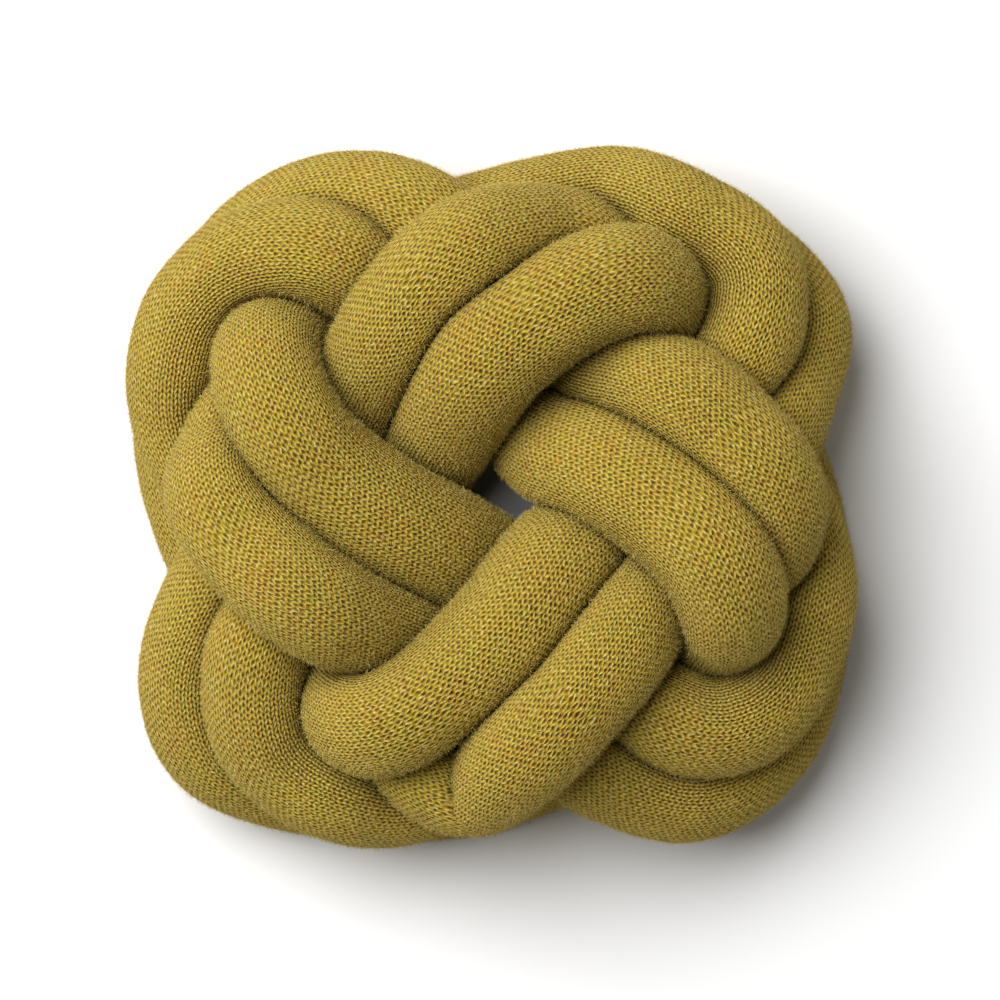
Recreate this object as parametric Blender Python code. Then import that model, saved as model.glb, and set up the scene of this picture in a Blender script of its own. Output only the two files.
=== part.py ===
# Knot cushion, lying on its back with its face up: one long soft knitted tube, stuffed all
# along and joined end to end into a ring, laid twice round the same knot. Each leg of the
# knot climbs from a notch round a corner lobe, dips under a bar, rises as the next bar,
# crosses the middle, and dives under the next lobe to the notch beyond.
# Lengths are millimetres until the mesh is made. +Z is up, out of the face.

import bpy
import numpy as np

TUBE_RADIUS = 21.5  # where nothing presses on the tube
SIDE_SWELL = 1.06  # most that a free side grows where the tube is pressed elsewhere
CREASE_ROUNDING = 8.0  # radius between a free side and a pressed one
SKIN_CLEARANCE = 0.8  # from each skin to the plane where two runs press together
RUN_SPACING = 37.0  # between the centres of two runs that press together
GROUND_HEIGHT = 16.0  # of a run's centre where the run lies on the ground
ROUTE_STEP = 8.0  # between the points of the route while it settles
SETTLING_ROUNDS = 300
PLAN_PULL = 0.8  # share of the way back to its place in plan a held point goes each round
HEIGHT_PULL = 0.02  # share of the way back to its own height
STIFFNESS = 0.25  # against sharp bends
OWN_REACH = 10.0  # along the tube, within which it doesn't press on itself
RINGS = 428
SIDES = 14
COMPASS = 56  # directions in which a section's rounding is worked out
CENTRE_X = 0.41
CENTRE_Y = -0.43

YARN_COLOUR = (0.38, 0.27, 0.035, 1.0)

# The tube passes every place twice, as an outer lane and an inner lane side by side.
# Columns: place, outer lane x, y, z, inner lane x, y, z, and how firmly the place is held
# in plan (1 on the face, less where the run is hidden under others).
TOP_LEFT_LOBE_TO_RIGHT_BAR = (
    ("notch", -116, -12, 23, -107, -4, 42, 0.5),
    ("lobe side", -126, 32, 23, -126, 34, 58, 1.0),
    ("lobe corner", -115, 80, 30, -124, 70, 63, 1.0),
    ("lobe turn", -87, 111, 48, -101, 95, 63, 1.0),
    ("lobe far side", -51, 120, 60, -68, 100, 63, 1.0),
    ("lobe end", -17, 105, 60, -37, 85, 58, 1.0),
    ("under the bar", 17, 75, 44, -8, 57, 38, 0.3),
    ("bar root", 50, 53, 68, 24, 25, 68, 0.6),
    ("bar rise", 75, 44, 82, 47, 13, 94, 1.0),
    ("bar crown", 98, 25, 86, 69, 0, 106, 1.0),
    ("bar far side", 115, 2, 82, 89.5, -19.5, 102, 1.0),
    ("bar end", 113, -20, 66, 98.5, -41.5, 82, 1.0),
    ("dive", 105, -43, 40, 92.5, -56, 50, 1.0),
    ("below", 90, -69, 23, 58, -80, 28, 0.4),
    ("below, far side", 64, -89, 23, 27, -93, 26, 0.4),
)
BOTTOM_LEFT_LOBE_TO_TOP_BAR = (
    ("notch", 31, -103, 23, -6, -107, 28, 0.5),
    ("lobe side", -10, -119, 23, -37, -122, 38, 1.0),
    ("lobe corner", -66, -119.5, 26, -68, -118, 60, 1.0),
    ("lobe turn", -112, -106, 36, -91, -99, 64, 1.0),
    ("lobe far side", -124, -74, 50, -96, -70, 64, 1.0),
    ("lobe end", -113, -42, 60, -87, -43, 60, 1.0),
    ("under the bar", -93, -14, 58, -64, -16, 42, 0.3),
    ("bar root", -68, 14, 50, -39, 7, 44, 0.3),
    ("bar rise", -50.5, 48.5, 72, -21, 30, 74, 1.0),
    ("bar crown", -34, 77.5, 86, -3, 57, 97, 1.0),
    ("bar far side", -9, 101, 94, 23, 77, 104, 1.0),
    ("bar end", 19, 106, 88, 50, 88, 99, 1.0),
    ("dive", 42, 101, 64, 65, 85, 80, 1.0),
    ("below", 66, 87, 38, 77, 61, 46, 0.4),
    ("below, far side", 93, 61, 23, 92, 35, 30, 0.4),
)
BOTTOM_RIGHT_LOBE_TO_LEFT_BAR = (
    ("notch", 109, 30, 23, 112, 9, 46, 0.5),
    ("lobe side", 124.5, -8, 23, 127, -26, 60, 1.0),
    ("lobe corner", 127, -53, 26, 126, -55, 63, 1.0),
    ("lobe turn", 116, -97, 36, 112, -84, 64, 1.0),
    ("lobe far side", 85, -121, 50, 87, -94, 64, 1.0),
    ("lobe end", 50, -112.5, 60, 58, -82, 60, 1.0),
    ("under the bar", 21, -92, 54, 29, -59, 40, 0.3),
    ("bar root", -9, -73, 52, 2, -34, 52, 0.3),
    ("bar rise", -38, -59, 78, -25, -18, 82, 1.0),
    ("bar crown", -70, -45, 96, -50, -4, 98, 1.0),
    ("bar far side", -98, -21, 101, -74, 16, 102, 1.0),
    ("bar end", -111, 0, 92, -88, 38, 99, 1.0),
    ("dive", -106, 18, 68, -92, 60, 80, 1.0),
    ("below", -98, 46, 40, -79, 75, 50, 0.4),
    ("below, far side", -79, 76, 23, -58, 88, 30, 0.4),
)
TOP_RIGHT_LOBE_TO_BOTTOM_BAR = (
    ("notch", -49, 97, 23, -26, 103, 36, 0.5),
    ("lobe side", -5, 111, 23, 10, 115, 54, 1.0),
    ("lobe corner", 40, 120.5, 23, 50, 122, 62, 1.0),
    ("lobe turn", 98, 101, 33, 82, 112, 63, 1.0),
    ("lobe far side", 126.5, 73, 49, 106, 94, 64, 1.0),
    ("lobe end", 121, 44, 60, 107, 67, 62, 1.0),
    ("under the bar", 106, 15, 54, 93, 38, 48, 0.3),
    ("bar root", 83, -18, 50, 70, 11, 40, 0.3),
    ("bar rise", 66, -42, 70, 47, -14, 62, 1.0),
    ("bar crown", 48, -67, 80, 26, -32, 90, 1.0),
    ("bar far side", 27.5, -90.5, 84, 7, -55, 102, 1.0),
    ("bar end", 6, -110.5, 80, -20, -79, 101, 1.0),
    ("dive", -12, -117, 58, -46, -93, 84, 1.0),
    ("below", -46, -98, 34, -64, -80, 52, 0.4),
    ("below, far side", -75, -82, 23, -81, -50, 32, 0.4),
)
# The inner lane is fuller along the bars: its radius at those places.
FULLER_INNER_LANE = {
    "bar root": 24.0,
    "bar rise": 24.5,
    "bar crown": 25.0,
    "bar far side": 24.0,
    "bar end": 22.0,
}
LEGS = (
    TOP_LEFT_LOBE_TO_RIGHT_BAR,
    BOTTOM_LEFT_LOBE_TO_TOP_BAR,
    BOTTOM_RIGHT_LOBE_TO_LEFT_BAR,
    TOP_RIGHT_LOBE_TO_BOTTOM_BAR,
)
# Under the top bar the two lanes of the first leg change sides, out of sight, one crossing
# above the other, so that both laps are one tube. Columns: x, y, z, hold, radius.
LOW_CROSSING = (5, 71, 22, 0.3, TUBE_RADIUS)
HIGH_CROSSING = (6, 74, 60, 0.3, TUBE_RADIUS)
UNDER_BAR = 6


def strand_stations():
    """The places of both laps in the order in which the tube passes them: x, y, z, how
    firmly each is held, and the tube's radius there."""
    stations = []
    for column, crossing, fuller in ((1, LOW_CROSSING, {}), (4, HIGH_CROSSING, FULLER_INNER_LANE)):
        lap = []
        for leg in LEGS:
            for row in leg:
                radius = fuller.get(row[0], TUBE_RADIUS)
                lap.append(row[column : column + 3] + (row[7], radius))
        stations += lap[UNDER_BAR + 1 :] + lap[:UNDER_BAR] + [crossing]
    return np.array(stations, dtype=float)


def curve_through(points, steps=12):
    """Closed Catmull-Rom curve through the points."""
    before = np.roll(points, 1, axis=0)[:, None]
    start = points[:, None]
    end = np.roll(points, -1, axis=0)[:, None]
    after = np.roll(points, -2, axis=0)[:, None]
    t = (np.arange(steps) / steps)[None, :, None]
    linear = end - before
    square = 2 * before - 5 * start + 4 * end - after
    cube = 3 * start - before - 3 * end + after
    curve = 0.5 * (2 * start + linear * t + square * t**2 + cube * t**3)
    return curve.reshape(-1, points.shape[1])


def closed_lengths(points):
    """Distance along the closed line at each point, and at its return to the start."""
    loop = np.vstack([points, points[:1]])[:, :3]
    return np.append(0.0, np.cumsum(np.linalg.norm(np.diff(loop, axis=0), axis=1)))


def evenly_spaced(points, count):
    """Points at equal distances along the closed line."""
    along = closed_lengths(points)
    loop = np.vstack([points, points[:1]])
    places = np.arange(count) * along[-1] / count
    columns = [np.interp(places, along, loop[:, c]) for c in range(points.shape[1])]
    return np.stack(columns, axis=1)


def neighbour_mean(values):
    """Mean of the two neighbours of each point of a closed line."""
    return 0.5 * (np.roll(values, 1, axis=0) + np.roll(values, -1, axis=0))


def settled_route(stations):
    """Centre line of the tube once its runs have pushed each other apart, with the
    tube's radius as a fourth column."""
    curve = curve_through(stations)
    length = closed_lengths(curve)[-1]
    count = int(round(length / ROUTE_STEP))
    start = evenly_spaced(curve, count)
    hold = start[:, 3:4] * PLAN_PULL
    radius = start[:, 4:]
    start = start[:, :3]
    order = np.arange(count)
    apart = np.abs(order[:, None] - order)
    apart = np.minimum(apart, count - apart) * length / count
    may_press = apart > 1.6 * RUN_SPACING
    route = start.copy()
    for _ in range(SETTLING_ROUNDS):
        gaps = route[:, None] - route
        distance = np.sqrt((gaps**2).sum(axis=2)) + 1e-9
        overlap = np.where(may_press, np.maximum(0.0, RUN_SPACING - distance), 0.0)
        push = (gaps * (overlap / distance)[:, :, None]).sum(axis=1)
        route += 0.5 * push / np.maximum(1, (overlap > 0).sum(axis=1))[:, None]
        route[:, :2] += hold * (start - route)[:, :2]
        route[:, 2] += HEIGHT_PULL * (start - route)[:, 2]
        bend = neighbour_mean(route) - route
        route -= STIFFNESS * (neighbour_mean(bend) - bend)
        route[:, 2] = np.maximum(route[:, 2], GROUND_HEIGHT)
    return np.hstack([route, radius])


def unit(vectors):
    return vectors / np.linalg.norm(vectors, axis=-1, keepdims=True)


def ring_frames(centres):
    """Two axes across the tube at each centre, carried along without twist and closed."""
    ahead = unit(np.roll(centres, -1, axis=0) - np.roll(centres, 1, axis=0))
    first = unit(np.cross(ahead[0], (0.0, 0.0, 1.0)))
    carried = [first]
    for direction in list(ahead[1:]) + [ahead[0]]:
        axis = carried[-1]
        carried.append(unit(axis - direction * (axis @ direction)))
    last = carried.pop()
    gained = np.arctan2(last @ np.cross(ahead[0], first), last @ first)
    side = np.array(carried)
    up = np.cross(ahead, side)
    turn = (-gained * np.arange(len(centres)) / len(centres))[:, None]
    across = side * np.cos(turn) + up * np.sin(turn)
    return across, np.cross(ahead, across)


def rounded(core):
    """Sections with their pressed-in cores grown outwards by the rounding."""
    result = core + CREASE_ROUNDING
    for step in range(1, COMPASS // 6):
        turn = 2 * np.pi * step / COMPASS
        reach = np.sqrt(np.maximum(CREASE_ROUNDING**2 - (core * np.sin(turn)) ** 2, 0))
        grown = core * np.cos(turn) + reach
        result = np.maximum(result, np.roll(grown, step, axis=1))
        result = np.maximum(result, np.roll(grown, -step, axis=1))
    return result


def room_around(rings, across, above, route):
    """How far each section may reach in each direction before it meets another run or
    the ground: for its skin, and for its core inside the rounding. Of two runs that press
    together, the fuller one keeps more of the room."""
    angles = 2 * np.pi * np.arange(COMPASS) / COMPASS
    compass = np.stack([np.cos(angles), np.sin(angles)])
    length = closed_lengths(route)[-1]
    route_places = np.arange(len(route)) / len(route)
    skin = np.empty((len(rings), COMPASS))
    core = np.empty((len(rings), COMPASS))
    for i, ring in enumerate(rings):
        centre, radius = ring[:3], ring[3]
        along = np.abs((route_places - i / len(rings) + 0.5) % 1.0 - 0.5) * length
        others = route[along > OWN_REACH]
        offsets = others[:, :3] - centre
        squares = (offsets**2).sum(axis=1) + radius**2 - others[:, 3] ** 2
        axes = np.stack([across[i], above[i]], axis=1)
        flat = np.vstack([offsets @ axes, -axes[2]])
        middle = np.append(0.5 * squares, centre[2])[:, None]
        lean = np.linalg.norm(flat, axis=1)[:, None]
        clearance = np.full_like(lean, SKIN_CLEARANCE)
        clearance[-1] = 0.0
        facing = np.maximum(flat @ compass, 1e-6)
        skin[i] = ((middle - lean * clearance) / facing).min(axis=0)
        core[i] = ((middle - lean * (clearance + CREASE_ROUNDING)) / facing).min(axis=0)
    return skin, core


def section_radii(rings, across, above, route):
    """Radius of each section in each direction, from its resting radius: round where free,
    flat where pressed, and fuller on its free sides where the pressed ones take room."""
    resting = rings[:, 3:]
    skin, core = room_around(rings, across, above, route)
    free = resting
    for _ in range(4):
        radii = rounded(np.clip(core, 1.0, free - CREASE_ROUNDING))
        fullness = (radii**2).mean(axis=1, keepdims=True) / resting**2
        free = np.clip(free / np.sqrt(fullness), resting, resting * SIDE_SWELL)
        for _ in range(6):
            free = 0.5 * (free + neighbour_mean(free))
    for _ in range(2):
        radii = 0.5 * (radii + neighbour_mean(radii))
    return np.minimum(radii, skin)


def tube_mesh(name):
    """The whole tube as one closed skin, a loft through its sections."""
    settled = settled_route(strand_stations())
    route = evenly_spaced(curve_through(settled, 4), 2 * len(settled))
    rings = evenly_spaced(route, RINGS)
    centres = rings[:, :3]
    across, above = ring_frames(centres)
    radii = section_radii(rings, across, above, route)
    radii = radii[:, :: COMPASS // SIDES]
    angles = 2 * np.pi * np.arange(SIDES) / SIDES
    outward = across[:, None] * np.cos(angles)[:, None] + above[:, None] * np.sin(angles)[:, None]
    points = (centres[:, None] + outward * radii[:, :, None]).reshape(-1, 3)
    points[:, 2] = np.maximum(points[:, 2], 0.0)
    points[:, :2] -= (CENTRE_X, CENTRE_Y)
    faces = []
    for ring in range(RINGS):
        here, there = ring * SIDES, (ring + 1) % RINGS * SIDES
        for side in range(SIDES):
            other = (side + 1) % SIDES
            faces.append((here + side, here + other, there + other, there + side))
    mesh = bpy.data.meshes.new(name)
    mesh.from_pydata((points / 1000.0).tolist(), [], faces)
    mesh.shade_smooth()
    return mesh


def knitted_wool():
    """Mustard yellow wool-blend jersey: matt, no metal."""
    material = bpy.data.materials.new("mustard_wool_knit")
    material.use_nodes = True
    surface = material.node_tree.nodes["Principled BSDF"]
    surface.inputs["Base Color"].default_value = YARN_COLOUR
    surface.inputs["Roughness"].default_value = 0.95
    surface.inputs["Metallic"].default_value = 0.0
    return material


for leftover in list(bpy.data.objects):
    bpy.data.objects.remove(leftover, do_unlink=True)

collection = bpy.data.collections.new("knot_cushion")
bpy.context.scene.collection.children.link(collection)

tube = bpy.data.objects.new("knot_tube", tube_mesh("knot_tube"))
tube.data.materials.append(knitted_wool())
collection.objects.link(tube)
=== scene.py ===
# Knot cushion, seen from straight above on a white studio floor: one long knitted tube,
# stuffed soft all along and joined end to end, laid twice round a square knot.

import bpy
import numpy as np
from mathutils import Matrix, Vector, noise


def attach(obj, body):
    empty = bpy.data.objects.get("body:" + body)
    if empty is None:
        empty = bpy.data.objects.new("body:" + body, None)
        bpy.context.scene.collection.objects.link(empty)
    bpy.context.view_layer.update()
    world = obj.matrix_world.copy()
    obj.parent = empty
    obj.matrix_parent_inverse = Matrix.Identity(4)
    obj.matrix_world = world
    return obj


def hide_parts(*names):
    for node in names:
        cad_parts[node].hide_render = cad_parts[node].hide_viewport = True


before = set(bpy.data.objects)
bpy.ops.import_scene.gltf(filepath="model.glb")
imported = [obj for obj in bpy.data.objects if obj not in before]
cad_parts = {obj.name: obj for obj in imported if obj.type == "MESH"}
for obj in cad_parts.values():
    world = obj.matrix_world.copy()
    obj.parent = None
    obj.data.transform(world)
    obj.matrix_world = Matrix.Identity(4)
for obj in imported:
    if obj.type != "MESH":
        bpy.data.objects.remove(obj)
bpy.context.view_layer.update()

# ---------------------------------------------------------------- the stuffed tube
# A circular-knitted wool-blend tube, loosely filled with fibre, about 4.6 m long and 43 mm
# thick. It passes every place of the knot twice, as an outer and an inner lane side by side,
# and is flat only where another run or the floor presses on it. Lengths in millimetres.

TUBE_RADIUS = 21.5  # where nothing presses on the tube
SIDE_SWELL = 1.06  # most that a free side grows where the tube is pressed elsewhere
CREASE_ROUNDING = 8.0  # radius between a free side and a pressed one
SKIN_CLEARANCE = 0.12  # from each skin to the plane where two runs press together
RUN_SPACING = 37.0  # between the centres of two runs that press together
SAME_RUN = 1.6 * RUN_SPACING  # along the tube, within which it doesn't push itself apart
GROUND_HEIGHT = 16.0  # of a run's centre where the run lies on the ground
ROUTE_STEP = 8.0  # between the points of the route while it settles
SETTLING_ROUNDS = 300
REFINING = 4  # points of the settled route for each one that it settled with
PLAN_PULL = 0.8  # share of the way back to its place in plan a held point goes each round
HEIGHT_PULL = 0.02  # share of the way back to its own height
STIFFNESS = 0.25  # against sharp bends
OWN_REACH = 10.0  # along the tube, within which it doesn't press on itself
NEIGHBOUR_REACH = 90.0  # from a section's centre, past which no run can press on it
RINGS = 1536
SIDES = 64  # points round a ring, and directions in which its rounding is worked out
CENTRE = (0.41, -0.43)  # of the knot's bounding box in plan
LUMP_DEPTH = 0.4  # of the filling's soft unevenness under the knit
LUMP_WIDTH = 17.0
CREVICE_REACH = 7.0  # from a neighbouring run, within which shade is painted into the knit's colour
NAPLESS_REACH = 1.5  # from a neighbouring run, within which the knit's nap is held down
SWELL_ROUNDS = 4  # in which free sides take up what the pressed ones lose
# Rounds of smoothing along the tube: of its swelling, its sections and the knit's stretch.
SWELL_SMOOTHING = 70
SECTION_SMOOTHING = 24
STRETCH_SMOOTHING = 150
WALES = 45  # columns of stitches round the tube, 3.1 mm each
COURSES = 1930  # rows of stitches along the whole tube, 2.4 mm each
SPIRAL = 6  # wales that the columns drift round the tube over its whole length

# Columns: place, outer lane x, y, z, inner lane x, y, z, and how firmly the place is held
# in plan (1 on the face, less where the run is hidden under others).
TOP_LEFT_LOBE_TO_RIGHT_BAR = (
    ("notch", -116, -12, 23, -107, -4, 42, 0.5),
    ("lobe side", -126, 32, 23, -126, 34, 58, 1.0),
    ("lobe corner", -115, 80, 30, -124, 70, 63, 1.0),
    ("lobe turn", -87, 111, 48, -101, 95, 63, 1.0),
    ("lobe far side", -51, 120, 60, -68, 100, 63, 1.0),
    ("lobe end", -17, 105, 60, -37, 85, 58, 1.0),
    ("under the bar", 17, 75, 44, -8, 57, 38, 0.3),
    ("bar root", 50, 53, 68, 24, 25, 68, 0.6),
    ("bar rise", 75, 44, 82, 47, 13, 94, 1.0),
    ("bar crown", 98, 25, 86, 69, 0, 106, 1.0),
    ("bar far side", 115, 2, 82, 89.5, -19.5, 102, 1.0),
    ("bar end", 113, -20, 66, 98.5, -41.5, 82, 1.0),
    ("dive", 105, -43, 40, 92.5, -56, 50, 1.0),
    ("below", 90, -69, 23, 58, -80, 28, 0.4),
    ("below, far side", 64, -89, 23, 27, -93, 26, 0.4),
)
BOTTOM_LEFT_LOBE_TO_TOP_BAR = (
    ("notch", 31, -103, 23, -6, -107, 28, 0.5),
    ("lobe side", -10, -119, 23, -37, -122, 38, 1.0),
    ("lobe corner", -66, -119.5, 26, -68, -118, 60, 1.0),
    ("lobe turn", -112, -106, 36, -91, -99, 64, 1.0),
    ("lobe far side", -124, -74, 50, -96, -70, 64, 1.0),
    ("lobe end", -113, -42, 60, -87, -43, 60, 1.0),
    ("under the bar", -93, -14, 58, -64, -16, 42, 0.3),
    ("bar root", -68, 14, 50, -39, 7, 44, 0.3),
    ("bar rise", -50.5, 48.5, 72, -21, 30, 74, 1.0),
    ("bar crown", -34, 77.5, 86, -3, 57, 97, 1.0),
    ("bar far side", -9, 101, 94, 23, 77, 104, 1.0),
    ("bar end", 19, 106, 88, 50, 88, 99, 1.0),
    ("dive", 42, 101, 64, 65, 85, 80, 1.0),
    ("below", 66, 87, 38, 77, 61, 46, 0.4),
    ("below, far side", 93, 61, 23, 92, 35, 30, 0.4),
)
BOTTOM_RIGHT_LOBE_TO_LEFT_BAR = (
    ("notch", 109, 30, 23, 112, 9, 46, 0.5),
    ("lobe side", 124.5, -8, 23, 127, -26, 60, 1.0),
    ("lobe corner", 127, -53, 26, 126, -55, 63, 1.0),
    ("lobe turn", 116, -97, 36, 112, -84, 64, 1.0),
    ("lobe far side", 85, -121, 50, 87, -94, 64, 1.0),
    ("lobe end", 50, -112.5, 60, 58, -82, 60, 1.0),
    ("under the bar", 21, -92, 54, 29, -59, 40, 0.3),
    ("bar root", -9, -73, 52, 2, -34, 52, 0.3),
    ("bar rise", -38, -59, 78, -25, -18, 82, 1.0),
    ("bar crown", -70, -45, 96, -50, -4, 98, 1.0),
    ("bar far side", -98, -21, 101, -74, 16, 102, 1.0),
    ("bar end", -111, 0, 92, -88, 38, 99, 1.0),
    ("dive", -106, 18, 68, -92, 60, 80, 1.0),
    ("below", -98, 46, 40, -79, 75, 50, 0.4),
    ("below, far side", -79, 76, 23, -58, 88, 30, 0.4),
)
TOP_RIGHT_LOBE_TO_BOTTOM_BAR = (
    ("notch", -49, 97, 23, -26, 103, 36, 0.5),
    ("lobe side", -5, 111, 23, 10, 115, 54, 1.0),
    ("lobe corner", 40, 120.5, 23, 50, 122, 62, 1.0),
    ("lobe turn", 98, 101, 33, 82, 112, 63, 1.0),
    ("lobe far side", 126.5, 73, 49, 106, 94, 64, 1.0),
    ("lobe end", 121, 44, 60, 107, 67, 62, 1.0),
    ("under the bar", 106, 15, 54, 93, 38, 48, 0.3),
    ("bar root", 83, -18, 50, 70, 11, 40, 0.3),
    ("bar rise", 66, -42, 70, 47, -14, 62, 1.0),
    ("bar crown", 48, -67, 80, 26, -32, 90, 1.0),
    ("bar far side", 27.5, -90.5, 84, 7, -55, 102, 1.0),
    ("bar end", 6, -110.5, 80, -20, -79, 101, 1.0),
    ("dive", -12, -117, 58, -46, -93, 84, 1.0),
    ("below", -46, -98, 34, -64, -80, 52, 0.4),
    ("below, far side", -75, -82, 23, -81, -50, 32, 0.4),
)
# The inner lane is fuller along the bars: its radius at those places.
FULLER_INNER_LANE = {
    "bar root": 24.0,
    "bar rise": 24.5,
    "bar crown": 25.0,
    "bar far side": 24.0,
    "bar end": 22.0,
}
LEGS = (
    TOP_LEFT_LOBE_TO_RIGHT_BAR,
    BOTTOM_LEFT_LOBE_TO_TOP_BAR,
    BOTTOM_RIGHT_LOBE_TO_LEFT_BAR,
    TOP_RIGHT_LOBE_TO_BOTTOM_BAR,
)
# Under the top bar the two lanes of the first leg change sides, out of sight, one crossing
# above the other, so that both laps are one tube. Columns: x, y, z, hold, radius.
LOW_CROSSING = (5, 71, 22, 0.3, TUBE_RADIUS)
HIGH_CROSSING = (6, 74, 60, 0.3, TUBE_RADIUS)
UNDER_BAR = 6


def strand_stations():
    """The places of both laps in the order in which the tube passes them: x, y, z, how
    firmly each is held, and the tube's radius there."""
    stations = []
    lanes = ((1, LOW_CROSSING, {}), (4, HIGH_CROSSING, FULLER_INNER_LANE))
    for column, crossing, fuller in lanes:
        lap = []
        for leg in LEGS:
            for row in leg:
                radius = fuller.get(row[0], TUBE_RADIUS)
                lap.append(row[column : column + 3] + (row[7], radius))
        stations += lap[UNDER_BAR + 1 :] + lap[:UNDER_BAR] + [crossing]
    return np.array(stations, dtype=float)


def curve_through(points, steps=12):
    """Closed Catmull-Rom curve through the points."""
    before = np.roll(points, 1, axis=0)[:, None]
    start = points[:, None]
    end = np.roll(points, -1, axis=0)[:, None]
    after = np.roll(points, -2, axis=0)[:, None]
    t = (np.arange(steps) / steps)[None, :, None]
    linear = end - before
    square = 2 * before - 5 * start + 4 * end - after
    cube = 3 * start - before - 3 * end + after
    curve = 0.5 * (2 * start + linear * t + square * t**2 + cube * t**3)
    return curve.reshape(-1, points.shape[1])


def closed_lengths(points):
    """Distance along the closed line at each point, and at its return to the start."""
    loop = np.vstack([points, points[:1]])[:, :3]
    return np.append(0.0, np.cumsum(np.linalg.norm(np.diff(loop, axis=0), axis=1)))


def evenly_spaced(points, count):
    """Points at equal distances along the closed line."""
    along = closed_lengths(points)
    loop = np.vstack([points, points[:1]])
    places = np.arange(count) * along[-1] / count
    columns = [np.interp(places, along, loop[:, c]) for c in range(points.shape[1])]
    return np.stack(columns, axis=1)


def neighbour_mean(values):
    """Mean of the two neighbours of each point of a closed line."""
    return 0.5 * (np.roll(values, 1, axis=0) + np.roll(values, -1, axis=0))


def settled_route(stations):
    """Centre line of the tube once its runs have pushed each other apart, with the
    tube's radius as a fourth column."""
    curve = curve_through(stations)
    length = closed_lengths(curve)[-1]
    count = int(round(length / ROUTE_STEP))
    start = evenly_spaced(curve, count)
    hold = start[:, 3:4] * PLAN_PULL
    radius = start[:, 4:]
    start = start[:, :3]
    order = np.arange(count)
    apart = np.abs(order[:, None] - order)
    apart = np.minimum(apart, count - apart) * length / count
    may_press = apart > SAME_RUN
    route = start.copy()
    for _ in range(SETTLING_ROUNDS):
        gaps = route[:, None] - route
        distance = np.sqrt((gaps**2).sum(axis=2)) + 1e-9
        overlap = np.where(may_press, np.maximum(0.0, RUN_SPACING - distance), 0.0)
        push = (gaps * (overlap / distance)[:, :, None]).sum(axis=1)
        route += 0.5 * push / np.maximum(1, (overlap > 0).sum(axis=1))[:, None]
        route[:, :2] += hold * (start - route)[:, :2]
        route[:, 2] += HEIGHT_PULL * (start - route)[:, 2]
        bend = neighbour_mean(route) - route
        route -= STIFFNESS * (neighbour_mean(bend) - bend)
        route[:, 2] = np.maximum(route[:, 2], GROUND_HEIGHT)
    return np.hstack([route, radius])


def unit(vectors):
    return vectors / np.linalg.norm(vectors, axis=-1, keepdims=True)


def ring_frames(centres):
    """Two axes across the tube at each centre, carried along without twist and closed."""
    ahead = unit(np.roll(centres, -1, axis=0) - np.roll(centres, 1, axis=0))
    first = unit(np.cross(ahead[0], (0.0, 0.0, 1.0)))
    carried = [first]
    for direction in list(ahead[1:]) + [ahead[0]]:
        axis = carried[-1]
        carried.append(unit(axis - direction * (axis @ direction)))
    last = carried.pop()
    gained = np.arctan2(last @ np.cross(ahead[0], first), last @ first)
    side = np.array(carried)
    up = np.cross(ahead, side)
    turn = (-gained * np.arange(len(centres)) / len(centres))[:, None]
    across = side * np.cos(turn) + up * np.sin(turn)
    return across, np.cross(ahead, across)


def rounded(core):
    """Sections with their pressed-in cores grown outwards by the rounding, which shows up
    to a sixth of a turn to each side."""
    result = core + CREASE_ROUNDING
    for step in range(1, SIDES // 6):
        turn = 2 * np.pi * step / SIDES
        reach = np.sqrt(np.maximum(CREASE_ROUNDING**2 - (core * np.sin(turn)) ** 2, 0))
        grown = core * np.cos(turn) + reach
        result = np.maximum(result, np.roll(grown, step, axis=1))
        result = np.maximum(result, np.roll(grown, -step, axis=1))
    return result


def room_around(rings, across, above, route, compass):
    """How far each section may reach in each direction before it meets another run or
    the ground: for its skin, and for its core inside the rounding. Of two runs that press
    together, the fuller one keeps more of the room."""
    length = closed_lengths(route)[-1]
    route_places = np.arange(len(route)) / len(route)
    skin = np.empty((len(rings), SIDES))
    core = np.empty((len(rings), SIDES))
    for i, ring in enumerate(rings):
        centre, radius = ring[:3], ring[3]
        along = np.abs((route_places - i / len(rings) + 0.5) % 1.0 - 0.5) * length
        offsets = route[:, :3] - centre
        near = (along > OWN_REACH) & ((offsets**2).sum(axis=1) < NEIGHBOUR_REACH**2)
        offsets = offsets[near]
        squares = (offsets**2).sum(axis=1) + radius**2 - route[near, 3] ** 2
        axes = np.stack([across[i], above[i]], axis=1)
        flat = np.vstack([offsets @ axes, -axes[2]])
        middle = np.append(0.5 * squares, centre[2])[:, None]
        lean = np.linalg.norm(flat, axis=1)[:, None]
        clearance = np.full_like(lean, SKIN_CLEARANCE)
        clearance[-1] = 0.0
        facing = np.maximum(flat @ compass, 1e-6)
        skin[i] = ((middle - lean * clearance) / facing).min(axis=0)
        core[i] = ((middle - lean * (clearance + CREASE_ROUNDING)) / facing).min(axis=0)
    return skin, core


def filling_lumps(points):
    """How far the uneven filling pushes the knit out or lets it sink at each point."""
    flat = points.reshape(-1, 3) / LUMP_WIDTH
    depths = [noise.noise(Vector(p)) for p in flat.tolist()]
    return LUMP_DEPTH * np.array(depths).reshape(points.shape[:2])


settled = settled_route(strand_stations())
route = evenly_spaced(curve_through(settled, 2 * REFINING), REFINING * len(settled))
rings = evenly_spaced(route, RINGS)
centres, resting = rings[:, :3], rings[:, 3:]
across, above = ring_frames(centres)
angles = 2 * np.pi * np.arange(SIDES) / SIDES
compass = np.stack([np.cos(angles), np.sin(angles)])
outward = across[:, None] * compass[0][:, None] + above[:, None] * compass[1][:, None]
skin, core = room_around(rings, across, above, route, compass)

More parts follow.
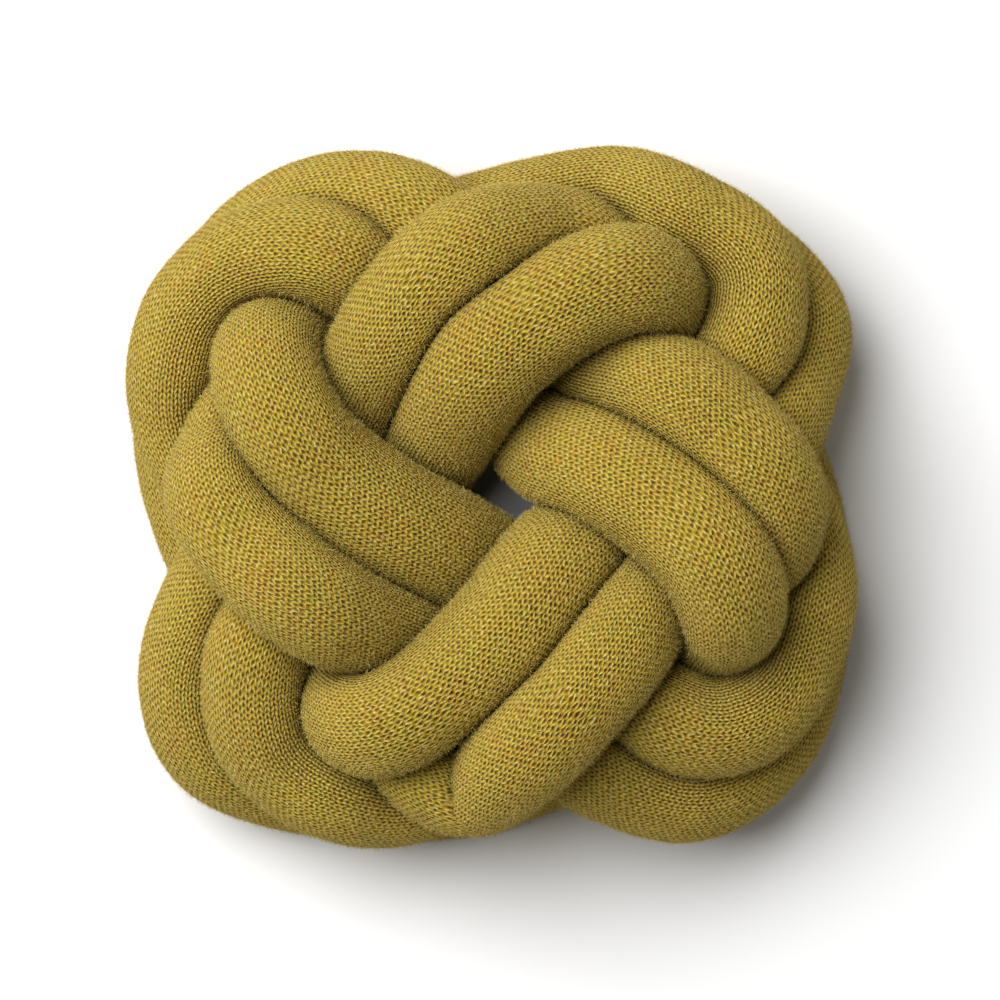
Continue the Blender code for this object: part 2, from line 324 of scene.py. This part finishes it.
# Round where free, flat where pressed, and fuller on its free sides where the pressed ones
# take room.
free = resting
for _ in range(SWELL_ROUNDS):
    radii = rounded(np.clip(core, 1.0, free - CREASE_ROUNDING))
    fullness = (radii**2).mean(axis=1, keepdims=True) / resting**2
    free = np.clip(free / np.sqrt(fullness), resting, resting * SIDE_SWELL)
    for _ in range(SWELL_SMOOTHING):
        free = 0.5 * (free + neighbour_mean(free))
for _ in range(SECTION_SMOOTHING):
    radii = 0.5 * (radii + neighbour_mean(radii))
radii = radii + filling_lumps(centres[:, None] + outward * TUBE_RADIUS)
pressed = np.clip(1.0 - (skin - radii) / NAPLESS_REACH, 0.0, 1.0)
# Painted shade: how much the knit's colour darkens near another run, where the crease lies in
# shade.
deep = np.clip(1.0 - (skin - radii) / CREVICE_REACH, 0.0, 1.0) ** 2
radii = np.minimum(radii, skin)

points = centres[:, None] + outward * radii[:, :, None]
points[:, :, 2] = np.maximum(points[:, :, 2], 0.0)
points[:, :, :2] -= CENTRE
# How much longer than knitted the courses are at each point: over 1 outside a bend, where
# the stitches open, and under 1 inside it, where they crowd. The knit shares out what is
# local among the courses near it.
step_along = np.linalg.norm(np.roll(points, -1, axis=0) - np.roll(points, 1, axis=0), axis=2)
local_stretch = step_along / step_along.mean()
stretch = local_stretch
for _ in range(STRETCH_SMOOTHING):
    stretch = 0.5 * (stretch + neighbour_mean(stretch))
ring_courses = (1.0 + local_stretch - stretch) * COURSES / RINGS
course_count = np.vstack([np.zeros(SIDES), np.cumsum(ring_courses, axis=0)])

ring_of = np.repeat(np.arange(RINGS), SIDES)
side_of = np.tile(np.arange(SIDES), RINGS)
next_ring, next_side = (ring_of + 1) % RINGS, (side_of + 1) % SIDES
quads = np.stack(
    [
        ring_of * SIDES + side_of,
        ring_of * SIDES + next_side,
        next_ring * SIDES + next_side,
        next_ring * SIDES + side_of,
    ],
    axis=1,
)
tube_mesh = bpy.data.meshes.new("knitted_tube")
tube_mesh.from_pydata((points.reshape(-1, 3) / 1000.0).tolist(), [], quads.tolist())
tube_mesh.shade_smooth()

# The UV map counts stitches: across is the wale and up the course.
corner_side = np.stack([side_of, side_of + 1, side_of + 1, side_of], axis=1)
corner_ring = np.stack([ring_of, ring_of, ring_of + 1, ring_of + 1], axis=1)
stitches = np.empty((RINGS * SIDES, 4, 2))
stitches[:, :, 0] = corner_side * WALES / SIDES + corner_ring * SPIRAL / RINGS
stitches[:, :, 1] = course_count[corner_ring, corner_side % SIDES]
stitch_map = tube_mesh.uv_layers.new(name="stitches")
stitch_map.uv.foreach_set("vector", stitches.ravel())
for name, values in (("stretch", stretch), ("pressed", pressed), ("deep", deep)):
    layer = tube_mesh.attributes.new(name, "FLOAT", "POINT")
    layer.data.foreach_set("value", values.ravel())

tube = bpy.data.objects.new("knitted_tube", tube_mesh)
bpy.context.scene.collection.objects.link(tube)


def linear(hex_colour):
    """An sRGB hex colour as the linear RGBA that Blender's sockets take."""
    levels = np.array([int(hex_colour[i : i + 2], 16) / 255 for i in (1, 3, 5)])
    values = np.where(levels <= 0.04045, levels / 12.92, ((levels + 0.055) / 1.055) ** 2.4)
    return tuple(values.tolist()) + (1.0,)


def add_node(tree, kind, inputs=None, **settings):
    """Adds a node with its settings, and sets or links each of the inputs given."""
    node = tree.nodes.new(kind)
    for name, value in settings.items():
        setattr(node, name, value)
    for socket, value in (inputs or {}).items():
        if isinstance(value, bpy.types.NodeSocket):
            tree.links.new(value, node.inputs[socket])
        else:
            node.inputs[socket].default_value = value
    return node


# Heather wool-blend stockinette, knitted in the round: matt, soft, with a bloom of fine
# fibre at the edges. Each stitch is a V of two slanted legs, and the legs of neighbouring
# wales meet too, so small dark gaps stand in staggered rows, half a wale and half a course
# apart. Where the courses crowd inside a bend, the rows of gaps close up into grooves. The
# yarn is a melange of mustard, olive, orange brown, dusty mauve and pale straw fibres.
HALF_WALE, COURSE = 1.55, 2.4  # millimetres
LEG_SLANT = 0.5  # courses that a leg rises from the middle of the wale to its edge
STITCH_WANDER = 0.5  # stitches between the farthest that one sits off its place each way
GAP_CORE, GAP_REACH = 0.12, 0.72  # millimetres from the middle of a gap: black, and gone
GAP_SQUEEZE = 0.75  # a gap is a third longer along the tube than across it
GROOVE_SHARE = 0.8  # how dark and deep a groove is, against a gap
CREVICE_SHADE = 0.38  # how dark the painted shade is where two runs meet, against a gap
GAP_AND_CREVICE_DARKNESS = 0.9  # how much of a gap shows the dark inside, and of the painted crevice shade
STITCH_RELIEF = 0.0014  # metres that a relief of 1 stands up
YARN_RELIEF, GAP_RELIEF = 0.4, 0.8  # height of the yarn and depth of a gap, in that relief
FIBRE_RELIEF = 0.6  # of the single fibres, against the yarn

# Sizes of the patterns that follow the wool and not the stitches, in millimetres. Single
# fibres are far finer, and are drawn as coarse as they need to be to show.
WANDER_WIDTH = 3.85  # stitches that are off their place the same way
FUZZ_WIDTH = 2.38  # gaps that loose fibres close more or less
DRIFT_WIDTH = 22.2  # a stretch of yarn with more of one dye
PATCH_WIDTH = 4.76  # a few stitches with more of one fibre
FIBRE_WIDTH = 0.385  # the fine hairiness of the yarn
FLECKS_IN_A_STITCH = (1.7, 1.5, 1.0)  # round the tube, along it and through it

PATCH_SHARE = 0.45  # of the patches' hue in the melange, against the drifts'
DRIFT_HUES = ((0.32, "#B49E2B"), (0.5, "#BFA030"), (0.68, "#C49A2F"))
PATCH_HUES = (
    (0.30, "#A49D1F"),  # olive
    (0.42, "#BFA632"),  # mustard
    (0.55, "#C5A233"),  # deep mustard
    (0.64, "#BA8125"),  # orange brown
    (0.74, "#B28757"),  # dusty mauve
)
BROWN_FLECK = "#845E1E"
STRAW_FLECK = "#DFD08A"
# Painted shade for the dips between the yarns, and a painted highlight for their crests.
SHADE_BETWEEN_YARNS = "#6C4B03"
CREST_HIGHLIGHT = "#E3D48C"
# Dark inside of the knit seen through its gaps, also used as painted shade in the creases
# between runs.
DARK_INSIDE_AND_CREVICE_SHADE = "#2E1C00"
WOOL_BLOOM = "#E0CC78"

knit = bpy.data.materials.new("mustard_wool_knit")
knit.use_nodes = True
tree = knit.node_tree
surface = tree.nodes["Principled BSDF"]

stitch_place = add_node(tree, "ShaderNodeUVMap", uv_map="stitches").outputs["UV"]
place = add_node(tree, "ShaderNodeTexCoord").outputs["Object"]
stretched = add_node(tree, "ShaderNodeAttribute", attribute_name="stretch").outputs["Fac"]
# Painted shade in the creases where two runs meet.
crevice_shade_mask = add_node(tree, "ShaderNodeAttribute", attribute_name="deep").outputs["Fac"]

# A soft knit is never quite even: every stitch sits a little off its place.
uneven = add_node(
    tree, "ShaderNodeTexNoise", {"Vector": place, "Scale": 1000 / WANDER_WIDTH, "Detail": 2.0}
)
uneven_shift = add_node(
    tree,
    "ShaderNodeVectorMath",
    {0: uneven.outputs["Color"], 1: (-0.5, -0.5, -0.5)},
    operation="ADD",
)
uneven_place = add_node(
    tree,
    "ShaderNodeVectorMath",
    {0: uneven_shift.outputs[0], 1: (STITCH_WANDER, STITCH_WANDER, 0.0), 2: stitch_place},
    operation="MULTIPLY_ADD",
)
split = add_node(tree, "ShaderNodeSeparateXYZ", {0: uneven_place.outputs[0]})
wale, course = split.outputs["X"], split.outputs["Y"]

# How far from the middle of its wale a point is: 0 in the middle, 1 at the wale's edges.
half_wale = add_node(tree, "ShaderNodeMath", {0: wale, 1: 0.5}, operation="PINGPONG")
from_middle = add_node(
    tree, "ShaderNodeMath", {0: half_wale.outputs[0], 1: 2.0}, operation="MULTIPLY"
)
# The legs rise from the middle to the edges, so the course count is slanted both ways.
slanted = add_node(
    tree,
    "ShaderNodeMath",
    {0: from_middle.outputs[0], 1: LEG_SLANT, 2: course},
    operation="MULTIPLY_ADD",
)
half_course = add_node(
    tree, "ShaderNodeMath", {0: slanted.outputs[0], 1: 0.5}, operation="PINGPONG"
)
# The yarn is round across each leg, and each leg arches up between the gaps at its ends.
arches = []
for leg_place in (half_course, from_middle):
    half_turn = add_node(
        tree, "ShaderNodeMath", {0: leg_place.outputs[0], 1: np.pi}, operation="MULTIPLY"
    )
    arches.append(
        add_node(tree, "ShaderNodeMath", {0: half_turn.outputs[0]}, operation="SINE").outputs[0]
    )
yarn_round, leg_arch = arches
leg_height = add_node(
    tree, "ShaderNodeMath", {0: leg_arch, 1: 0.5, 2: 0.5}, operation="MULTIPLY_ADD"
)
yarn_height = add_node(
    tree, "ShaderNodeMath", {0: yarn_round, 1: leg_height.outputs[0]}, operation="MULTIPLY"
).outputs[0]

# The gaps between the legs, one row in the middle of each wale and one at its edge: small,
# deep and dark, and wider where the knit is stretched.
from_gap_row = add_node(tree, "ShaderNodeMath", {0: course, 1: 0.5}, operation="PINGPONG")
gap_offset = add_node(
    tree,
    "ShaderNodeCombineXYZ",
    {"X": from_middle.outputs[0], "Y": from_gap_row.outputs[0]},
)
other_offset = add_node(
    tree,
    "ShaderNodeVectorMath",
    {0: (1.0, 0.5, 0.0), 1: gap_offset.outputs[0]},
    operation="SUBTRACT",
)
distances = []
for offset in (gap_offset, other_offset):
    in_mm = add_node(
        tree,
        "ShaderNodeVectorMath",
        {0: offset.outputs[0], 1: (HALF_WALE, GAP_SQUEEZE * COURSE, 0.0)},
        operation="MULTIPLY",
    )
    distances.append(
        add_node(tree, "ShaderNodeVectorMath", {0: in_mm.outputs[0]}, operation="LENGTH")
    )
gap_distance = add_node(
    tree,
    "ShaderNodeMath",
    {0: distances[0].outputs["Value"], 1: distances[1].outputs["Value"]},
    operation="MINIMUM",
)
gap_end = add_node(
    tree,
    "ShaderNodeMapRange",
    {
        "Value": stretched,
        "From Min": 0.8,
        "From Max": 1.3,
        "To Min": 0.8 * GAP_REACH,
        "To Max": 1.05 * GAP_REACH,
    },
)
gap_fade = add_node(
    tree,
    "ShaderNodeMapRange",
    {
        "Value": gap_distance.outputs[0],
        "From Min": GAP_CORE,
        "From Max": gap_end.outputs["Result"],
        "To Min": 1.0,
        "To Max": 0.0,
    },
)
fuzz = add_node(
    tree, "ShaderNodeTexNoise", {"Vector": place, "Scale": 1000 / FUZZ_WIDTH, "Detail": 2.0}
)
gap_openness = add_node(
    tree,
    "ShaderNodeMapRange",
    {
        "Value": fuzz.outputs["Fac"],
        "From Min": 0.35,
        "From Max": 0.65,
        "To Min": 0.45,
        "To Max": 1.0,
    },
)
gap = add_node(
    tree,
    "ShaderNodeMath",
    {0: gap_fade.outputs["Result"], 1: gap_openness.outputs["Result"]},
    operation="MULTIPLY",
)
# The grooves along the rows of gaps, where the courses crowd.
crowding = add_node(
    tree,
    "ShaderNodeMapRange",
    {"Value": stretched, "From Min": 1.15, "From Max": 0.85, "To Min": 0.15, "To Max": 1.0},
)
row_edge = add_node(
    tree,
    "ShaderNodeMapRange",
    {"Value": leg_arch, "From Min": 0.75, "From Max": 0.1, "To Min": 0.0, "To Max": 1.0},
)
groove = add_node(
    tree,
    "ShaderNodeMath",
    {0: crowding.outputs["Result"], 1: row_edge.outputs["Result"]},
    operation="MULTIPLY",
)
grooved = add_node(
    tree,
    "ShaderNodeMath",
    {0: groove.outputs[0], 1: GROOVE_SHARE, 2: gap.outputs[0]},
    operation="MULTIPLY_ADD",
    use_clamp=True,
).outputs[0]

# Melange of fibres: broad drifts of hue, patches of one fibre or another a few stitches
# wide, and flecks along the yarn of each course.
drift = add_node(
    tree,
    "ShaderNodeTexNoise",
    {"Vector": place, "Scale": 1000 / DRIFT_WIDTH, "Detail": 3.0, "Roughness": 0.6},
)
patches = add_node(
    tree,
    "ShaderNodeTexNoise",
    {"Vector": place, "Scale": 1000 / PATCH_WIDTH, "Detail": 2.0, "Roughness": 0.65},
)
melange_parts = []
for pattern, hues in ((drift, DRIFT_HUES), (patches, PATCH_HUES)):
    dyed = add_node(tree, "ShaderNodeValToRGB", {"Fac": pattern.outputs["Fac"]})
    ramp = dyed.color_ramp
    for element, (position, hue) in zip(ramp.elements, (hues[0], hues[-1])):
        element.position, element.color = position, linear(hue)
    for position, hue in hues[1:-1]:
        ramp.elements.new(position).color = linear(hue)
    melange_parts.append(dyed.outputs["Color"])
patched = add_node(
    tree,
    "ShaderNodeMix",
    {0: PATCH_SHARE, 6: melange_parts[0], 7: melange_parts[1]},
    data_type="RGBA",
)

yarn_place = add_node(
    tree,
    "ShaderNodeVectorMath",
    {0: uneven_place.outputs[0], 1: FLECKS_IN_A_STITCH},
    operation="MULTIPLY",
)
flecks = add_node(
    tree,
    "ShaderNodeTexNoise",
    {"Vector": yarn_place.outputs[0], "Scale": 1.0, "Detail": 3.0, "Roughness": 0.7},
)

# Brown and straw flecks, then painted shade that darkens the dips between the yarns, then a
# painted highlight that makes the crests of the yarn paler. Each layer hides nothing of the
# colour before it where its pattern has the first value, and the share given last where it
# has the second.
colour = patched.outputs[2]
for pattern, none, full, share, hue in (
    (flecks.outputs["Fac"], 0.54, 0.72, 0.6, BROWN_FLECK),
    (flecks.outputs["Fac"], 0.47, 0.3, 0.75, STRAW_FLECK),
    (yarn_height, 0.8, 0.1, 0.3, SHADE_BETWEEN_YARNS),
    (yarn_height, 0.55, 1.0, 0.22, CREST_HIGHLIGHT),
):
    layer_share = add_node(
        tree,
        "ShaderNodeMapRange",
        {"Value": pattern, "From Min": none, "From Max": full, "To Min": 0.0, "To Max": share},
    )
    layered = add_node(
        tree,
        "ShaderNodeMix",
        {0: layer_share.outputs["Result"], 6: colour, 7: linear(hue)},
        data_type="RGBA",
    )
    colour = layered.outputs[2]

# The gaps and grooves show the dark inside; painted shade darkens the creases between runs.
inside_and_crevice_shade_share = add_node(
    tree,
    "ShaderNodeMath",
    {0: crevice_shade_mask, 1: CREVICE_SHADE, 2: grooved},
    operation="MULTIPLY_ADD",
    use_clamp=True,
)
gap_and_crevice_shade_share = add_node(
    tree, "ShaderNodeMath", {0: inside_and_crevice_shade_share.outputs[0], 1: GAP_AND_CREVICE_DARKNESS}, operation="MULTIPLY"
)
knit_colour = add_node(
    tree,
    "ShaderNodeMix",
    {0: gap_and_crevice_shade_share.outputs[0], 6: colour, 7: linear(DARK_INSIDE_AND_CREVICE_SHADE)},
    data_type="RGBA",
)
tree.links.new(knit_colour.outputs[2], surface.inputs["Base Color"])

# The stitches stand up from the fabric, and their fibres make them rough.
fibres = add_node(
    tree, "ShaderNodeTexNoise", {"Vector": place, "Scale": 1000 / FIBRE_WIDTH, "Detail": 2.0}
)
fibre_relief = add_node(
    tree,
    "ShaderNodeMath",
    {0: fibres.outputs["Fac"], 1: FIBRE_RELIEF, 2: yarn_height},
    operation="MULTIPLY_ADD",
)
stitch_relief = add_node(
    tree, "ShaderNodeMath", {0: fibre_relief.outputs[0], 1: YARN_RELIEF}, operation="MULTIPLY"
)
relief = add_node(
    tree,
    "ShaderNodeMath",
    {0: grooved, 1: -GAP_RELIEF, 2: stitch_relief.outputs[0]},
    operation="MULTIPLY_ADD",
)
bump = add_node(
    tree,
    "ShaderNodeBump",
    {"Height": relief.outputs[0], "Distance": STITCH_RELIEF, "Strength": 1.0},
)
tree.links.new(bump.outputs["Normal"], surface.inputs["Normal"])
# Wool has no gloss of its own, only a soft pale bloom where it is seen along its surface.
surface.inputs["Roughness"].default_value = 0.9
surface.inputs["Specular IOR Level"].default_value = 0.1
surface.inputs["Sheen Weight"].default_value = 0.3
surface.inputs["Sheen Roughness"].default_value = 0.45
surface.inputs["Sheen Tint"].default_value = linear(WOOL_BLOOM)
tube_mesh.materials.append(knit)

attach(tube, "root")
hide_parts("knot_tube")

# ---------------------------------------------------------------- the nap
# Loose ends of wool that stand out of the yarn all over the knit, up to two millimetres
# long. They soften the outline and the edges of every crease. Lengths in metres.
NAP_PATCHES = 4  # each one piece, so that none is too heavy
FIRST_SEED = 11
HAIRS_PER_AREA = 240000  # to the square metre, in each patch
HAIR_THICKNESS = 0.00013  # coarser than a wool fibre, so that it shows
SHORTEST_HAIR, LONGEST_HAIR = 0.0006, 0.0020
HAIR_LEAN = 1.1  # radians, the most that a hair leans from straight out
HAIR_TURN = 3.1416  # radians either way round its root
LOWEST_HAIR = 0.0001  # above what the cushion rests on
FIBRE_HUES = ((0.35, "#B0983A"), (0.65, "#D2BF74"))
HUE_WIDTH = 1.43  # millimetres between a dark hair and a pale one

hair_mesh = bpy.data.meshes.new("hair")
hair_mesh.from_pydata(
    [(-0.5, 0, 0), (0.5, 0, 0), (0.25, 0.3, 1), (-0.25, 0.3, 1)],
    [],
    [(0, 1, 2, 3)],
)
hair = bpy.data.objects.new("hair", hair_mesh)
bpy.context.scene.collection.objects.link(hair)

# Single fibres of the same wool: paler than the yarn, with a faint silky shine.
wool_end = bpy.data.materials.new("loose_wool_fibre")
wool_end.use_nodes = True
tree = wool_end.node_tree
surface = tree.nodes["Principled BSDF"]
place = add_node(tree, "ShaderNodeTexCoord").outputs["Object"]
shade = add_node(tree, "ShaderNodeTexNoise", {"Vector": place, "Scale": 1000 / HUE_WIDTH})
fibre_colour = add_node(tree, "ShaderNodeValToRGB", {"Fac": shade.outputs["Fac"]})
for element, (position, hue) in zip(fibre_colour.color_ramp.elements, FIBRE_HUES):
    element.position, element.color = position, linear(hue)
tree.links.new(fibre_colour.outputs["Color"], surface.inputs["Base Color"])
surface.inputs["Roughness"].default_value = 0.7
surface.inputs["Specular IOR Level"].default_value = 0.3

nap_tree = bpy.data.node_groups.new("nap", "GeometryNodeTree")
for name, kind in (
    ("Geometry", "NodeSocketGeometry"),
    ("Hair", "NodeSocketObject"),
    ("Density", "NodeSocketFloat"),
    ("Thickness", "NodeSocketFloat"),
    ("Shortest", "NodeSocketFloat"),
    ("Longest", "NodeSocketFloat"),
    ("Seed", "NodeSocketInt"),
    ("Finish", "NodeSocketMaterial"),
):
    nap_tree.interface.new_socket(name, in_out="INPUT", socket_type=kind)
nap_tree.interface.new_socket("Geometry", in_out="OUTPUT", socket_type="NodeSocketGeometry")
given = add_node(nap_tree, "NodeGroupInput").outputs
# No hairs where another run presses on the knit.
held_down = add_node(
    nap_tree, "GeometryNodeInputNamedAttribute", {"Name": "pressed"}, data_type="FLOAT"
)
open_share = add_node(
    nap_tree,
    "ShaderNodeMath",
    {0: 1.0, 1: held_down.outputs[0]},
    operation="SUBTRACT",
    use_clamp=True,
)
density = add_node(
    nap_tree,
    "ShaderNodeMath",
    {0: open_share.outputs[0], 1: given["Density"]},
    operation="MULTIPLY",
)
spots = add_node(
    nap_tree,
    "GeometryNodeDistributePointsOnFaces",
    {"Mesh": given["Geometry"], "Density": density.outputs[0], "Seed": given["Seed"]},
)
lean = add_node(
    nap_tree,
    "FunctionNodeRandomValue",
    {
        0: (-HAIR_LEAN, -HAIR_LEAN, -HAIR_TURN),
        1: (HAIR_LEAN, HAIR_LEAN, HAIR_TURN),
        "Seed": given["Seed"],
    },
    data_type="FLOAT_VECTOR",
)
leaned = add_node(
    nap_tree,
    "FunctionNodeRotateRotation",
    {0: spots.outputs["Rotation"], 1: lean.outputs[0]},
    rotation_space="LOCAL",
)
hair_length = add_node(
    nap_tree,
    "FunctionNodeRandomValue",
    {2: given["Shortest"], 3: given["Longest"], "Seed": given["Seed"]},
    data_type="FLOAT",
)
hair_size = add_node(
    nap_tree,
    "ShaderNodeCombineXYZ",
    {"X": given["Thickness"], "Y": hair_length.outputs[1], "Z": hair_length.outputs[1]},
)
hair_shape = add_node(nap_tree, "GeometryNodeObjectInfo", {"Object": given["Hair"]})
planted = add_node(
    nap_tree,
    "GeometryNodeInstanceOnPoints",
    {
        "Points": spots.outputs["Points"],
        "Instance": hair_shape.outputs["Geometry"],
        "Rotation": leaned.outputs[0],
        "Scale": hair_size.outputs[0],
    },
)
realized = add_node(nap_tree, "GeometryNodeRealizeInstances", {0: planted.outputs[0]})
# Hairs under the cushion lie flat on what it rests on.
hair_place = add_node(nap_tree, "GeometryNodeInputPosition")
tip = add_node(nap_tree, "ShaderNodeSeparateXYZ", {0: hair_place.outputs[0]})
tip_height = add_node(
    nap_tree, "ShaderNodeMath", {0: tip.outputs["Z"], 1: LOWEST_HAIR}, operation="MAXIMUM"
)
lifted_tip = add_node(
    nap_tree,
    "ShaderNodeCombineXYZ",
    {"X": tip.outputs["X"], "Y": tip.outputs["Y"], "Z": tip_height.outputs[0]},
)
lifted = add_node(
    nap_tree,
    "GeometryNodeSetPosition",
    {"Geometry": realized.outputs[0], "Position": lifted_tip.outputs[0]},
)
finished = add_node(
    nap_tree,
    "GeometryNodeSetMaterial",
    {"Geometry": lifted.outputs[0], "Material": given["Finish"]},
)
add_node(nap_tree, "NodeGroupOutput", {0: finished.outputs[0]})

sockets = {
    item.name: item.identifier
    for item in nap_tree.interface.items_tree
    if item.in_out == "INPUT"
}
for patch in range(NAP_PATCHES):
    carrier = bpy.data.objects.new("nap_carrier", tube_mesh)
    bpy.context.scene.collection.objects.link(carrier)
    grown = carrier.modifiers.new("nap", "NODES")
    grown.node_group = nap_tree
    for name, value in (
        ("Hair", hair),
        ("Density", HAIRS_PER_AREA),
        ("Thickness", HAIR_THICKNESS),
        ("Shortest", SHORTEST_HAIR),
        ("Longest", LONGEST_HAIR),
        ("Seed", FIRST_SEED + patch),
        ("Finish", wool_end),
    ):
        grown[sockets[name]] = value
    evaluated = carrier.evaluated_get(bpy.context.evaluated_depsgraph_get())
    nap_mesh = bpy.data.meshes.new_from_object(evaluated)
    bpy.data.objects.remove(carrier, do_unlink=True)
    nap_mesh.name = f"wool_nap_{patch + 1}"
    nap = bpy.data.objects.new(nap_mesh.name, nap_mesh)
    bpy.context.scene.collection.objects.link(nap)
    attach(nap, "root")
bpy.data.objects.remove(hair, do_unlink=True)

# ---------------------------------------------------------------- the studio floor
# A plain sweep of matt white paper that the cushion lies on, lit until it is pure white
# away from the cushion's shadow. Lengths in metres.
FLOOR_HALF = 3.0
FLOOR_DROP = 0.0003  # metres below the cushion's flat underside

floor_mesh = bpy.data.meshes.new("studio_floor")
floor_mesh.from_pydata(
    [
        (-FLOOR_HALF, -FLOOR_HALF, -FLOOR_DROP),
        (FLOOR_HALF, -FLOOR_HALF, -FLOOR_DROP),
        (FLOOR_HALF, FLOOR_HALF, -FLOOR_DROP),
        (-FLOOR_HALF, FLOOR_HALF, -FLOOR_DROP),
    ],
    [],
    [(0, 1, 2, 3)],
)
floor = bpy.data.objects.new("studio_floor", floor_mesh)
bpy.context.scene.collection.objects.link(floor)
paper = bpy.data.materials.new("matt_white_paper")
paper.use_nodes = True
surface = paper.node_tree.nodes["Principled BSDF"]
surface.inputs["Base Color"].default_value = linear("#F4F4F4")
surface.inputs["Roughness"].default_value = 0.9
surface.inputs["Specular IOR Level"].default_value = 0.1
floor_mesh.materials.append(paper)

# ---------------------------------------------------------------- light and camera
# One large round softbox high on the upper left, about 25 degrees to each side of its
# middle as the cushion sees it, and a little fill from all round. The camera looks
# straight down from far off, through a long lens. Lengths in metres.
FILL_STRENGTH = 0.16
SOFTBOX_WIDTH = 3.4
SOFTBOX_WATTS = 212.0
SOFTBOX_PLACE = (-1.47, 1.08, 3.12)
CUSHION_MIDDLE = (0.0, 0.0, 0.05)
CAMERA_PLACE = (0.0037, -0.0010, 5.0)
VIEW_WIDTH = 0.414  # across the picture, at the height of the cushion's sides
SIDE_HEIGHT = 0.06
SENSOR_WIDTH = 36.0  # millimetres

world = bpy.data.worlds.new("studio")
bpy.context.scene.world = world
world.use_nodes = True
fill = world.node_tree.nodes["Background"]
fill.inputs["Color"].default_value = (1.0, 1.0, 1.0, 1.0)
fill.inputs["Strength"].default_value = FILL_STRENGTH

softbox = bpy.data.lights.new("main_softbox", "AREA")
softbox.shape = "DISK"
softbox.size = SOFTBOX_WIDTH
softbox.energy = SOFTBOX_WATTS
softbox_stand = bpy.data.objects.new("main_softbox", softbox)
softbox_stand.location = SOFTBOX_PLACE
softbox_aim = Vector(CUSHION_MIDDLE) - softbox_stand.location
softbox_stand.rotation_euler = softbox_aim.to_track_quat("-Z", "Y").to_euler()
bpy.context.scene.collection.objects.link(softbox_stand)

camera_data = bpy.data.cameras.new("overhead_camera")
camera_data.sensor_width = SENSOR_WIDTH
camera_data.lens = SENSOR_WIDTH * (CAMERA_PLACE[2] - SIDE_HEIGHT) / VIEW_WIDTH
camera_data.clip_end = 20.0
camera = bpy.data.objects.new("overhead_camera", camera_data)
camera.location = CAMERA_PLACE
bpy.context.scene.collection.objects.link(camera)
bpy.context.scene.camera = camera
bpy.context.scene.view_settings.view_transform = "Standard"
